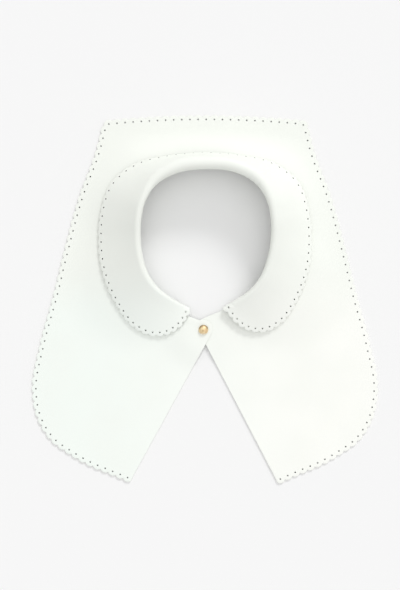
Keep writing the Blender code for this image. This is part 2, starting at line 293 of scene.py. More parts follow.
# Light: the room's strength by direction, and one lamp
WHITE = (1, 1, 1, 1)
ROOM_EVEN = 0.668
ROOM_RIGHT = 0.09
ROOM_FRONT = 0.057
ROOM_OVERHEAD = 0.936
OVERHEAD_POWER = 8
LAMP_AZIMUTH = 22
LAMP_ELEVATION = 33
LAMP_SPREAD = 14
LAMP_STRENGTH = 1.138

# Photograph: its size, the pixel in which X and Y are 0, and the camera straight above
PHOTO_WIDTH = 400
PHOTO_HEIGHT = 590
MM_A_PIXEL = 0.95
COLLAR_PIXEL = (205, 299)
CAMERA_HEIGHT = 1200
SENSOR = 24


def table(columns, rows, name):
    """One named column of a table."""
    return np.array([row[columns.index(name)] for row in rows], float)


def smooth(at, places, values):
    """Cubic Hermite curve through the values: each place's slope is the gradient of its neighbours."""
    slopes = np.gradient(values, places)
    i = np.clip(np.searchsorted(places, at) - 1, 0, len(places) - 2)
    width = places[i + 1] - places[i]
    t = (at - places[i]) / width
    start = values[i] * (1 + 2 * t) * (1 - t) ** 2 + width * slopes[i] * t * (1 - t) ** 2
    end = values[i + 1] * t**2 * (3 - 2 * t) - width * slopes[i + 1] * t**2 * (1 - t)
    return start + end


def ring(columns, rows, name, angle):
    """A column of a table round the neck, mirrored so that it is level where it crosses the back."""
    places = table(columns, rows, "angle")
    values = table(columns, rows, name)
    places = np.concatenate([-places[:0:-1], places])
    values = np.concatenate([values[:0:-1], values])
    return smooth(np.minimum(angle, places[-1]), places, values)


def eased(x):
    """0 below 0, 1 above 1, and 3x squared minus 2x cubed between."""
    x = np.clip(x, 0, 1)
    return x * x * (3 - 2 * x)


def along(line):
    """The length along a line up to each of its points: the running sum of its steps."""
    return np.concatenate([[0], np.cumsum(np.linalg.norm(np.diff(line, axis=0), axis=1))])


def spaced(line, count, widths=1):
    """The line again, with this many points: the same distance apart, or in these proportions."""
    length = along(line)
    at = np.concatenate([[0], np.cumsum(np.broadcast_to(widths, count - 1))])
    return np.stack([np.interp(at * length[-1] / at[-1], length, axis) for axis in line.T], axis=1)


def read(line, share):
    """Points of a line at shares of its count, 0 its first point and 1 its last one."""
    places = np.linspace(0, 1, len(line))
    return np.stack([np.interp(share, places, axis) for axis in line.T], axis=-1)


def through(points):
    """A smooth line through a few points, by their distance from each other."""
    places = along(points)
    at = np.linspace(0, places[-1], LINE_POINTS)
    return np.stack([smooth(at, places, axis) for axis in points.T], axis=1)


def polar(angle, radius, side):
    """The plan position at an angle round the neck: radius times sine across, cosine to the back."""
    turn = np.radians(angle)
    return np.stack([side * radius * np.sin(turn), NECK_CENTRE_Y + radius * np.cos(turn)], axis=-1)


def place(points, side):
    """The angle and radius of plan positions, past 180 where a tab reaches over the middle."""
    x, y = side * points[..., 0], points[..., 1] - NECK_CENTRE_Y
    angle = np.degrees(np.arctan2(x, y))
    return np.where(angle < -FULL_TURN / 4, angle + FULL_TURN, angle), np.hypot(x, y)


def seam_radius(angle, side):
    """Radius of the neck seam, the left front lower on the neck than the right one."""
    front = eased((angle - FRONT_SHIFT_FROM) / (FRONT_SHIFT_TO - FRONT_SHIFT_FROM))
    return ring(NECK_COLUMNS, NECK, "seam", angle) + FRONT_SHIFT[side] * front


def bib_height(points, side):
    """Height of the bib's middle: it slopes from the neck to where it lands, and its tab is level.

    The slope is straight near the neck and a parabola over the last part, so that it lands gently."""
    angle, radius = place(points, side)
    landing = ring(NECK_COLUMNS, NECK, "landing", angle)
    left = 1 - np.clip((radius - seam_radius(angle, side)) / landing, 0, 1)
    full = 1 - LANDING_EASE / 2
    slope = np.where(left > LANDING_EASE, left - LANDING_EASE / 2, left**2 / (2 * LANDING_EASE)) / full
    neck = ring(NECK_COLUMNS, NECK, "rise", angle) * slope
    away = np.hypot(points[..., 0] - STUD_X, points[..., 1] - STUD_Y)
    level = 1 - eased((away - TAB_LEVEL_TO) / (TAB_FADE_TO - TAB_LEVEL_TO))
    return HALF + (1 - level) * neck + level * (TAB_Z[side] - HALF)


def hem_half(side):
    """The bib's line of holes on one side, from the middle of the back to the front corner.

    The back is a flat parabola, and a quadratic curve rounds the back corner."""
    x = np.linspace(0, BACK_CORNER_X, LINE_POINTS)
    back = np.stack([x, BACK_LINE_Y - BACK_LINE_ARCH * (x / BACK_CORNER_X) ** 2], axis=1)
    rows = (*SIDE_LINE, FRONT_CORNER[side])
    sides = through(np.stack([table(SIDE_COLUMNS, rows, name) for name in SIDE_COLUMNS], axis=1))
    corner = sides[0]
    back = back[np.linalg.norm(back - corner, axis=1) > CORNER_CUT]
    sides = sides[np.linalg.norm(sides - corner, axis=1) > CORNER_CUT]
    t = np.linspace(0, 1, HEM_STEPS * 2)[:, None]
    bend = back[-1] * (1 - t) ** 2 + corner * 2 * t * (1 - t) + sides[0] * t**2
    line = np.concatenate([back[:-1], bend, sides[1:]])
    return line * np.array([side, 1])


def collar_half(side):
    """The collar's line of holes on one side, from the middle of the back over the front tip."""
    angle = table(COLLAR_COLUMNS, COLLAR, "angle")
    pull = TIP_PULL[side] * eased((angle - TIP_PULL_FROM) / (angle[-1] - TIP_PULL_FROM))
    turned = angle * TIP_ANGLE[side] / angle[-1]
    return through(polar(turned, table(COLLAR_COLUMNS, COLLAR, "holes") - pull, side))


def lobe_widths(count, steps):
    """Width of each step along the collar's hem: 1 less the share by which the lobes narrow, which
    fades from the tips by the eased count of lobes."""
    step = np.arange(count) + 0.5
    from_tip = np.minimum(step, count - step) / steps
    return 1 - TIP_NARROW * (1 - eased(from_tip / TIP_NARROW_LOBES))


def whole(half):
    """Both halves of a line as one, from the left front round the back to the right front."""
    return np.concatenate([half(-1)[::-1], half(1)[1:]])


def outward(line):
    """Unit normals on the left of a line, which is outside on a line that goes round the back."""
    step = np.gradient(line, axis=0)
    step /= np.linalg.norm(step, axis=1)[:, None]
    return np.stack([-step[:, 1], step[:, 0]], axis=1)


def lobe(share, half):
    """How far a lobe stands outside the holes: an arc of a circle over its half width, by share
    from valley to valley."""
    deep = LOBE_TIP - LOBE_VALLEY
    radius = (half**2 + deep**2) / (2 * deep)
    across = (share % 1 - 0.5) * 2 * half
    return np.sqrt(radius**2 - across**2) - radius + LOBE_TIP


def neck_edge(side):
    """Inner edge of one front of the bib: round its tab and up the neck to the middle of the back."""
    first, last = TAB_ARC[side]
    turn = np.radians(np.linspace(first, last, TAB_ARC_STEPS))
    tab = TAB_CENTRE[side] + TAB_RADIUS * np.stack([np.cos(turn), np.sin(turn)], axis=1)
    angle = np.linspace(NECK_EDGE_FROM, 0, LINE_POINTS)
    neck = polar(angle, seam_radius(angle, side) + BIB_ASIDE, side)
    return np.concatenate([tab, neck])


def creases(angle, side):
    """Small ripples across the roll: a cosine along the roll under a bell over their angles."""
    away = (angle * side - CREASE_ANGLE) / CREASE_SPREAD
    return CREASE_DEPTH * np.exp(-(away**2)) * np.cos(2 * math.pi * angle / CREASE_PITCH)


def section(angle, side):
    """One section of the collar: the roll's centre and radius, the slope of the fall, the turn at
    which the stand meets the roll, and the foot of the stand.

    The fall is the tangent from the roll to a point at rest on the bib, and the stand is the
    tangent from the foot to the roll. The fall's point and slope depend on each other, so they
    are worked out in rounds."""
    roll = ring(COLLAR_COLUMNS, COLLAR, "roll", angle * (1 - ROLL_LEAN * side))
    aside = side * CREST_ASIDE * np.sin(math.pi * np.minimum(angle, CREST_ASIDE_TO) / CREST_ASIDE_TO)
    centre_r = ring(COLLAR_COLUMNS, COLLAR, "inside", angle) + roll + HALF + aside
    centre_z = ring(COLLAR_COLUMNS, COLLAR, "crest", angle) - roll - HALF
    centre_r = centre_r + creases(angle, side)
    reach = ring(COLLAR_COLUMNS, COLLAR, "reach", angle)
    above = ring(COLLAR_COLUMNS, COLLAR, "rest", angle) + LEATHER
    slope = np.zeros_like(angle)
    for _ in range(SLOPE_ROUNDS):
        edge_r = reach + LOBE_TIP * np.cos(slope)
        rest_z = bib_height(polar(angle, edge_r, side), side) + above
        away_r, away_z = edge_r - centre_r, rest_z - centre_z
        slope = np.arctan2(away_r, away_z) - np.arccos(roll / np.hypot(away_r, away_z))
    foot_r = seam_radius(angle, side) - COLLAR_ASIDE
    foot_z = bib_height(polar(angle, foot_r, side), side) - HALF
    away_r, away_z = foot_r - centre_r, foot_z - centre_z
    far = np.maximum(np.hypot(away_r, away_z), roll)
    below = np.arctan2(away_r, away_z) % (2 * math.pi) - 2 * math.pi
    first = below + np.arccos(roll / far)
    return {
        "centre_r": centre_r,
        "centre_z": centre_z,
        "roll": roll,
        "slope": slope,
        "first": first,
        "foot_r": foot_r,
        "foot_z": foot_z,
    }


def marks(cut):
    """Reaches at which the stand starts, the roll starts and the fall starts. A reach is the plan
    radius on the fall, and goes on inwards by the length over the roll and down the stand."""
    fall_from = cut["centre_r"] + cut["roll"] * np.sin(cut["slope"])
    roll_from = fall_from - cut["roll"] * (cut["slope"] - cut["first"])
    top_r = cut["centre_r"] + cut["roll"] * np.sin(cut["first"])
    top_z = cut["centre_z"] + cut["roll"] * np.cos(cut["first"])
    stand = np.hypot(top_r - cut["foot_r"], top_z - cut["foot_z"])
    return roll_from - stand, roll_from, fall_from


def on_collar(angle, reach, side):
    """Points of the collar's middle surface: down the fall's slope, round the roll, down the stand."""
    cut = section(angle, side)
    _, roll_from, fall_from = marks(cut)
    slope, first = cut["slope"], cut["first"]
    down_z = (cut["roll"] - (reach - cut["centre_r"]) * np.sin(slope)) / np.cos(slope)
    turn = np.maximum(slope - (fall_from - reach) / cut["roll"], first)
    past = np.maximum(roll_from - reach, 0)
    rolled_r = cut["roll"] * np.sin(turn) - past * np.cos(first)
    rolled_z = cut["roll"] * np.cos(turn) + past * np.sin(first)
    on_fall = reach > fall_from
    radius = cut["centre_r"] + np.where(on_fall, reach - cut["centre_r"], rolled_r)
    height = cut["centre_z"] + np.where(on_fall, down_z, rolled_z)
    return np.concatenate([polar(angle, radius, side), height[..., None]], axis=-1)


def by_side(put, *grids):
    """Each half of grids whose last two axes are columns and coordinates, put by its own side."""
    middle = grids[0].shape[-2] // 2
    left = put(*(grid[..., :middle, :] for grid in grids), -1)
    right = put(*(grid[..., middle:, :] for grid in grids), 1)
    return np.concatenate([left, right], axis=-2)


def template(pitch):
    """Outline of one hem cell from its inner left corner: each point's share of the pitch, and its
    direction from the hole."""
    inner = np.linspace(0, 1, HEM_STEPS, endpoint=False)
    side = np.linspace(0, 1, SIDE_STEPS, endpoint=False)
    arc = np.linspace(1, 0, LOBE_ARC_STEPS, endpoint=False)
    up = -HEM_DEPTH + (LOBE_VALLEY + HEM_DEPTH) * side
    share = np.concatenate([inner, np.ones_like(side), arc, np.zeros_like(side)])
    out = np.concatenate(
        [
            np.full_like(inner, -HEM_DEPTH),
            up,
            lobe(arc, pitch / 2),
            (LOBE_VALLEY - HEM_DEPTH) - up,
        ]
    )
    return share, np.arctan2(out, (share - 0.5) * pitch)


def along_hem(normal):
    """The normal turned a quarter to the right, which is along the hem."""
    return np.stack([normal[..., 1], -normal[..., 0]], axis=-1)


def hole_edge(middle, right, up, facing):
    """Points of a hole's edge: its middle, plus the hole's radius times the cosine of each direction
    along the hem and its sine outwards."""
    turn = facing[..., None]
    return middle + HOLE_RADIUS * (right * np.cos(turn) + up * np.sin(turn))


def hem_cells(count, pitch, inner, valley, edge_at, hole_at):
    """Rings of plan positions between each punched hole and the outline of its cell.

    The outline runs along the inner side, up one side, back along the lobe and down the other.
    A ring is a share of the way from the hole's circle to the outline."""
    share, facing = template(pitch)
    cell = np.arange(count)[:, None]
    at = (cell + share) / count
    sides = np.linspace(0, 1, SIDE_STEPS, endpoint=False)[:, None]
    low_left, low_right = inner(cell / count), inner((cell + 1) / count)
    high_left, high_right = valley(cell / count), valley((cell + 1) / count)
    first = slice(0, HEM_STEPS)
    lobe_part = slice(HEM_STEPS + SIDE_STEPS, HEM_STEPS + SIDE_STEPS + LOBE_ARC_STEPS)
    outline = np.concatenate(
        [
            inner(at[:, first]),
            low_right + (high_right - low_right) * sides,
            edge_at(at[:, lobe_part]),
            high_left + (low_left - high_left) * sides,
        ],
        axis=1,
    )
    hole = hole_at((cell + 0.5) / count, facing[None, :])
    rings = np.array(HEM_RINGS)[None, :, None, None]
    return hole[:, None] + (outline[:, None] - hole[:, None]) * rings


def grid_faces(rows, columns, closed=False):
    """Corner numbers of the quads of a grid, the last column joined to the first one if closed."""
    row, column = np.meshgrid(np.arange(rows - 1), np.arange(columns - (not closed)), indexing="ij")
    after = (column + 1) % columns
    corners = (row * columns + column, row * columns + after)
    above = ((row + 1) * columns + after, (row + 1) * columns + column)
    return np.stack([*corners, *above], axis=-1).reshape(-1, 4)


def panel(name, body, cells, cells_height):
    """A leather panel's middle surface, from the grid of its body and the rings of its hem cells."""
    count, rings, around = cells_height.shape[:3]
    points = np.concatenate([body.reshape(-1, 3), cells_height.reshape(-1, 3)])
    faces = [grid_faces(*body.shape[:2])]
    one = grid_faces(rings, around, closed=True)
    starts = body.shape[0] * body.shape[1] + np.arange(count) * rings * around
    faces.append((one[None] + starts[:, None, None]).reshape(-1, 4))
    punched = np.zeros(len(points))
    hole = np.zeros(cells.shape[:3])
    hole[:, 0] = 1
    punched[body.shape[0] * body.shape[1] :] = hole.reshape(-1)
    return surface(name, points, np.concatenate(faces), {"punched": punched})


def surface(name, points, faces, numbers=None):
    """A mesh object from whole arrays, with numbers for its points as attributes, its doubles
    merged and its normals recalculated."""
    data = bpy.data.meshes.new(name)
    centred = (points - np.array([*OUTLINE_MIDDLE, 0])) * MM
    data.from_pydata(centred, [], faces.tolist())
    for key, values in (numbers or {}).items():
        attribute = data.attributes.new(key, "FLOAT", "POINT")
        attribute.data.foreach_set("value", values.astype(np.float32))
    mesh = bmesh.new()
    mesh.from_mesh(data)
    bmesh.ops.remove_doubles(mesh, verts=mesh.verts, dist=MERGE * MM)
    bmesh.ops.recalc_face_normals(mesh, faces=mesh.faces)
    mesh.to_mesh(data)
    mesh.free()
    data.shade_smooth()
    obj = bpy.data.objects.new(name, data)
    bpy.context.scene.collection.objects.link(obj)
    return obj


def face_up(obj):
    """Turns a sheet over if its faces look down, by the sum of the heights of their normals."""
    data = obj.data
    normals = np.zeros(len(data.polygons) * 3)
    data.polygons.foreach_get("normal", normals)
    if normals[2::3].sum() < 0:
        data.flip_normals()


def leather_wall(obj, face, edge):
    """Solidify on both sides of the middle surface, with cut edges of their own material, and a
    small Bevel along them."""
    face_up(obj)
    obj.data.materials.append(face)
    obj.data.materials.append(edge)
    wall = obj.modifiers.new("wall", "SOLIDIFY")
    wall.thickness = LEATHER * MM
    wall.offset = 0
    wall.use_even_offset = True
    wall.material_offset_rim = 1
    round_edges = obj.modifiers.new("cut edges", "BEVEL")
    round_edges.width = EDGE_ROUND * MM
    round_edges.segments = EDGE_ROUND_STEPS
    round_edges.limit_method = "ANGLE"
    round_edges.angle_limit = math.radians(EDGE_ANGLE)


def bib_points(points, side):
    """Plan positions put at the bib's height."""
    return np.concatenate([points, bib_height(points, side)[..., None]], axis=-1)


def bib(face, edge):
    """Back, shoulders and fronts in one panel, with both tabs.

    Columns run straight from the neck edge to the line of holes, and each hem cell fills the
    space between them and its lobe."""
    line = spaced(whole(hem_half), BIB_LOBES * LINE_STEPS + 1)
    pitch = along(line)[-1] / BIB_LOBES
    neck = spaced(np.concatenate([neck_edge(-1), neck_edge(1)[-2::-1]]), len(line))
    normal = outward(line)

    def inner(at):
        """The hem's depth from the row of holes, straight towards the neck edge."""
        start, end = read(line, at), read(neck, at)
        away = end - start
        return start + away * HEM_DEPTH / np.linalg.norm(away, axis=-1, keepdims=True)

    def out(at, distance):
        """A distance from the row of holes along its normal."""
        return read(line, at) + read(normal, at) * distance

    def valley(at):
        """Where two lobes meet."""
        return out(at, LOBE_VALLEY)

    def edge_at(at):
        """The edge of a lobe."""
        return out(at, lobe(at * BIB_LOBES, pitch / 2)[..., None])

    def hole_at(at, facing):
        """The edge of a hole, round in plan."""
        up = read(normal, at)
        return hole_edge(read(line, at), along_hem(up), up, facing)

    cells = hem_cells(BIB_LOBES, pitch, inner, valley, edge_at, hole_at)
    at = np.linspace(0, 1, BIB_LOBES * HEM_STEPS + 1)
    share = (np.linspace(0, 1, BIB_ROWS) ** BIB_ROWS_EASE)[:, None, None]
    start = read(neck, at)[None]
    body = start + (inner(at)[None] - start) * share
    left = cells[: BIB_LOBES // 2 + 1]
    right = cells[BIB_LOBES // 2 + 1 :]
    cells_height = np.concatenate([bib_points(left, -1), bib_points(right, 1)])
    obj = panel("bib_leather", by_side(bib_points, body), cells, cells_height)
    leather_wall(obj, face, edge)
    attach(obj, "root")
    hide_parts("bib")
    return obj


def collar_columns(top, side):
    """Columns of the collar from the foot of the stand, over the roll and down the fall, each at
    the angle of its point of the hem: even steps on the stand, on the roll and on the fall."""
    angle, reach = place(top, side)
    from_foot, roll_from, fall_from = marks(section(angle, side))
    full = reach - from_foot
    second = np.minimum(fall_from - from_foot, full * TO_ROLL_END)
    first = np.minimum(roll_from - from_foot, second * TO_ROLL_START)
    stand = first * np.linspace(0, 1, STAND_ROWS, endpoint=False)[:, None]
    roll = first + (second - first) * np.linspace(0, 1, ROLL_ROWS, endpoint=False)[:, None]
    fall = second + (full - second) * np.linspace(0, 1, FALL_ROWS)[:, None]
    steps = np.concatenate([stand, roll, fall])
    return on_collar(np.broadcast_to(angle, steps.shape), from_foot + steps, side)


def collar(face, edge):
    """Stand and fall in one panel, rolled over and lying on the bib, worked out by angle and reach.

    A length down the fall shows in plan divided by the root of 1 plus the square of the slope in
    its direction. Columns end on the inner side of the hem cells, and at each tip also on the side
    of the last cell, down to the valley where the hem meets the end of the roll."""
    count = COLLAR_LOBES * LINE_STEPS + 1
    line = spaced(whole(collar_half), count, lobe_widths(count - 1, LINE_STEPS))
    pitch = along(line)[-1] / COLLAR_LOBES
    normal = outward(line)
    on_left = np.arange(count) < count // 2
    angle = np.where(on_left, place(line, -1)[0], place(line, 1)[0])
    from_tip = np.minimum(np.arange(count), np.arange(count)[::-1]) / LINE_STEPS
    margin = np.where(on_left, TIP_MARGIN[-1], TIP_MARGIN[1])
    margin = (margin * (1 - eased(from_tip / TIP_MARGIN_LOBES)))[:, None]
    steep = np.where(on_left, section(angle, -1)["slope"], section(angle, 1)["slope"])
    away = line - np.array([0, NECK_CENTRE_Y])
    facing_out = np.sum(normal * away, axis=1) / np.linalg.norm(away, axis=1)
    in_plan = normal / np.sqrt(1 + (facing_out * np.tan(steep)) ** 2)[:, None]

    def out(at, distance):
        """A distance down the fall from the row of holes, as it shows in plan."""
        return read(line, at) + read(in_plan, at) * distance

    def inner(at):
        """The hem's depth up the fall from the row of holes."""
        return out(at, -HEM_DEPTH)

    def valley(at):
        """Where two lobes meet, further out by the tip's margin."""
        return out(at, LOBE_VALLEY + read(margin, at))

    def edge_at(at):
        """The edge of a lobe, further out by the tip's margin."""
        return out(at, lobe(at * COLLAR_LOBES, pitch / 2)[..., None] + read(margin, at))

    def hole_at(at, facing):
        """The edge of a hole that is round on the fall."""
        right = along_hem(read(normal, at))
        return hole_edge(read(line, at), right, read(in_plan, at), facing)

    cells = hem_cells(COLLAR_LOBES, pitch, inner, valley, edge_at, hole_at)
    at = np.linspace(0, 1, COLLAR_LOBES * HEM_STEPS + 1)
    share = np.linspace(0, 1, SIDE_STEPS + 1)[:, None]
    start = valley(0) + (inner(0) - valley(0)) * share[:-1]
    end = inner(1) + (valley(1) - inner(1)) * share[1:]
    body = by_side(collar_columns, np.concatenate([start, inner(at), end]))
    left = on_collar(*place(cells[: COLLAR_LOBES // 2], -1), -1)
    right = on_collar(*place(cells[COLLAR_LOBES // 2 :], 1), 1)
    obj = panel("collar_leather", body, cells, np.concatenate([left, right]))
    leather_wall(obj, face, edge)
    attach(obj, "root")
    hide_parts("collar")
    return obj


def stitches(look):
    """Stitches along the foot of the stand, inside and outside: each one a thread whose radius is
    the root of 1 minus its place to the fourth, and whose ends dip into the leather."""
    lines = []
    for side in (-1, 1):
        angle = np.linspace(0, TIP_ANGLE[side] - STITCH_FROM_TIP, LINE_POINTS)
        foot = marks(section(angle, side))[0] + STITCH_ABOVE
        low = on_collar(angle, foot, side)
        high = on_collar(angle, foot + 1, side)
        lines.append(np.concatenate([low, high - low], axis=1))
    both = np.concatenate([lines[0][::-1], lines[1][1:]])
    length = along(both[:, :3])
    count = int(length[-1] / STITCH_PITCH)
    at = (np.arange(count) + 0.5) / count
    middle = np.stack([np.interp(at * length[-1], length, axis) for axis in both.T], axis=1)
    centre, up = middle[:, :3], middle[:, 3:]
    run = np.gradient(centre, axis=0)
    run /= np.linalg.norm(run, axis=1)[:, None]
    up /= np.linalg.norm(up, axis=1)[:, None]
    out = np.cross(run, up)
    place_along = np.linspace(-1, 1, STITCH_RINGS)
    thick = STITCH_RADIUS * np.maximum(np.sqrt(1 - place_along**4), STITCH_BLUNT)
    dip = STITCH_DIP * place_along**4
    turn = np.linspace(0, 2 * math.pi, STITCH_SIDES, endpoint=False)
    shapes = []
    for face in (-1, 1):
        spine = (
            centre[:, None]
            + run[:, None] * (place_along * STITCH_LENGTH / 2)[None, :, None]
            + out[:, None] * (face * (HALF + STITCH_PROUD - dip))[None, :, None]
        )
        across = (thick[:, None] * np.cos(turn))[None, :, :, None] * up[:, None, None]
        off = (thick[:, None] * np.sin(turn))[None, :, :, None] * out[:, None, None]
        shapes.append(spine[:, :, None] + across + off)
    points = np.concatenate(shapes)
    one = grid_faces(STITCH_RINGS, STITCH_SIDES, closed=True)
    starts = np.arange(len(points)) * STITCH_RINGS * STITCH_SIDES
    faces = (one[None] + starts[:, None, None]).reshape(-1, 4)
    obj = surface("neck_stitches", points.reshape(-1, 3), faces)
    obj.data.materials.append(look)
    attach(obj, "root")
    return obj


def turned(name, profile, sides):
    """A profile of radius and height turned round the stud's axis, its ends closed on the axis."""
    turn = np.linspace(0, 2 * math.pi, sides, endpoint=False)
    radius, height = np.array(profile, float).T
    x = STUD_X + radius[:, None] * np.cos(turn)
    y = STUD_Y + radius[:, None] * np.sin(turn)
    z = np.repeat(height[:, None], sides, axis=1)
    points = np.stack([x, y, z], axis=-1).reshape(-1, 3)
    return surface(name, points, grid_faces(len(radius), sides, closed=True))


def stud(look):
    """Domed head: a quarter of an ellipse over a rim with a round edge, and the post below it."""
    seat = TAB_Z[-1] + HALF + GAP
    foot = LOWER_TAB_Z - HALF
    profile = []
    for turn in np.linspace(0, math.pi / 2, HEAD_CREST_STEPS):
        rise = (HEAD_HEIGHT - HEAD_RIM) * math.cos(turn)
        profile.append((HEAD_RADIUS * math.sin(turn), seat + HEAD_RIM + rise))
    for turn in np.linspace(0, math.pi / 2, RIM_STEPS):
        inside = RIM_ROUND * (1 - math.cos(turn))
        profile.append((HEAD_RADIUS - inside, seat + RIM_ROUND * (1 - math.sin(turn))))
    profile += [(POST_RADIUS, seat), (POST_RADIUS, foot), (0, foot)]
    obj = turned("stud_dome", profile, STUD_SIDES)
    obj.data.set_sharp_from_angle(angle=math.radians(SHARP_ANGLE))
    obj.data.materials.append(look)
    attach(obj, "root")
    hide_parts("stud_head")
    return obj


class Socket:
    """An output of a shader node. Sums, differences and products of outputs add Math nodes."""

    def __init__(self, paint, link):
        self.paint = paint
        self.link = link

    def maths(self, operation, first, second):
        """A Math node on two values."""
        return self.paint.node("ShaderNodeMath", {"operation": operation}, {0: first, 1: second})

    def __add__(self, other):
        return self.maths("ADD", self, other)

    def __radd__(self, other):
        return self.maths("ADD", other, self)

    def __sub__(self, other):
        return self.maths("SUBTRACT", self, other)

    def __rsub__(self, other):
        return self.maths("SUBTRACT", other, self)

    def __mul__(self, other):
        return self.maths("MULTIPLY", self, other)

    def __rmul__(self, other):
        return self.maths("MULTIPLY", other, self)


class Paint:
    """The nodes of a material or of the world."""

    def __init__(self, owner):
        owner.use_nodes = True
        self.owner = owner
        self.tree = owner.node_tree

    def node(self, kind, settings=None, values=None, output=0):
        """A node of a kind, with its settings set first and then its sockets' values or links."""
        made = self.tree.nodes.new(kind)
        for name, setting in (settings or {}).items():
            setattr(made, name, setting)
        for name, value in (values or {}).items():
            self.join(made.inputs[name], value)
        return Socket(self, made.outputs[output])

    def join(self, target, value):
        """Links a socket, or sets its own value."""
        if isinstance(value, Socket):
            self.tree.links.new(value.link, target)
        else:
            target.default_value = value

    def set(self, **values):
        """Values or links of the shader's own sockets, a name's underscores read as spaces."""
        shader = self.tree.nodes["Principled BSDF"]
        for name, value in values.items():
            self.join(shader.inputs[name.replace("_", " ")], value)

    def place(self):
        """Place on the object, in metres."""
        return self.node("ShaderNodeTexCoord", output="Object")

    def noise(self, vector, scale, detail=2, output="Fac"):
        """Noise from 0 to 1."""
        values = {"Vector": vector, "Scale": scale, "Detail": detail}
        return self.node("ShaderNodeTexNoise", None, values, output)

    def between(self, value, low, high):
        """A value's share of the way from low to high, eased."""
        values = {0: value, 1: low, 2: high}
        return self.node("ShaderNodeMapRange", {"interpolation_type": "SMOOTHSTEP"}, values)

    def mix(self, factor, first, second):
        """A colour between two. Sockets 6 and 7, and output 2, are those of colours."""
        values = {0: factor, 6: first, 7: second}
        return self.node("ShaderNodeMix", {"data_type": "RGBA"}, values, 2)

    def bump(self, height, strength, distance):
        """A normal from a height, in metres where the height is 1."""
        values = {"Height": height, "Strength": strength, "Distance": distance}
        return self.node("ShaderNodeBump", None, values, "Normal")


def leather_face(name):
    """Smooth white grain leather: shallow grain cells with fine pores, a slow drift of tone, and
    painted light on the right front and painted shade on the left front.

    The grain is the eased distance from the edge of a cell, up to the groove's width. The height is
    the grain and the pores by their shares, plus the waves."""
    paint = Paint(bpy.data.materials.new(name))
    where = paint.place()
    x, y = (paint.node("ShaderNodeSeparateXYZ", None, {0: where}, axis) for axis in "XY")
    # Painted light and shade by place across: lighter and warmer on the right front, darker and
    # greener on the left front
    painted_shade_left = paint.between(x, SHADE_LEFT_STARTS, SHADE_LEFT_FULL)
    front = paint.between(y, FRONT_STARTS, FRONT_FULL)
    drift = paint.noise(where, DRIFT_SCALE)
    deeper = paint.between(drift, DRIFT_STARTS, DRIFT_FULL) * DRIFT_SHARE
    white = paint.mix(front, LEATHER_BACK, paint.mix(painted_shade_left, LEATHER_PAINTED_LIGHT_RIGHT, LEATHER_PAINTED_SHADE_LEFT))
    bend = paint.noise(where, BEND_SCALE, output="Color")
    bent = {0: bend, 1: (GRAIN_BEND,) * 3, 2: where}
    warped = paint.node("ShaderNodeVectorMath", {"operation": "MULTIPLY_ADD"}, bent)
    cells = paint.node(
        "ShaderNodeTexVoronoi",
        {"feature": "DISTANCE_TO_EDGE"},
        {"Vector": warped, "Scale": 1 / GRAIN_CELL},
        "Distance",
    )
    grain = paint.between(cells, 0.0, GROOVE)
    pores = paint.noise(where, PORE_SCALE)
    waves = paint.noise(where, WAVE_SCALE)
    height = grain * (1 - PORE_SHARE) + pores * PORE_SHARE + waves * WAVE_SHARE
    paint.set(
        Base_Color=paint.mix(deeper, white, LEATHER_SHADE),
        Roughness=LEATHER_ROUGH + DRIFT_ROUGH * drift + GROOVE_ROUGH * (1 - grain),
        Normal=paint.bump(height, GRAIN_STRENGTH, GRAIN_DEPTH),
        Specular_IOR_Level=LEATHER_SHEEN,
    )
    return paint.owner


def leather_edge(name):
    """Cut edge of the leather: short fibres across it, and painted shade, nearly black, on the walls
    of the punched holes.
    """
    paint = Paint(bpy.data.materials.new(name))
    where = paint.place()
    fibre = paint.noise(where, FIBRE_SCALE, detail=3)
    punched = paint.node("ShaderNodeAttribute", {"attribute_name": "punched"}, None, "Fac")
    pale = paint.mix(fibre, EDGE_PALE, EDGE_FIBRE)
    paint.set(
        # Painted shade: the walls of the punched holes are nearly black
        Base_Color=paint.mix(paint.between(punched, HOLE_SHADE_STARTS, HOLE_SHADE_FULL), pale, HOLE_PAINTED_SHADE),
        Roughness=EDGE_ROUGH + FIBRE_ROUGH * fibre,
        Normal=paint.bump(fibre, FIBRE_STRENGTH, FIBRE_DEPTH),
        Specular_IOR_Level=EDGE_SHEEN,
    )
    return paint.owner


def thread(name):
    """White twisted thread: fine slanting ridges, with painted shade in the grooves between them."""
    paint = Paint(bpy.data.materials.new(name))
    values = {"Vector": paint.place(), "Scale": TWIST_SCALE, "Distortion": TWIST_WOBBLE}
    twist = paint.node("ShaderNodeTexWave", {"bands_direction": "DIAGONAL"}, values, "Fac")
    paint.set(
        # Painted shade: the low parts of the twist are darker
        Base_Color=paint.mix(twist, THREAD_SHADE, THREAD_WHITE),
        Roughness=THREAD_ROUGH + TWIST_ROUGH * twist,
        Normal=paint.bump(twist, TWIST_STRENGTH, TWIST_DEPTH),
    )
    return paint.owner


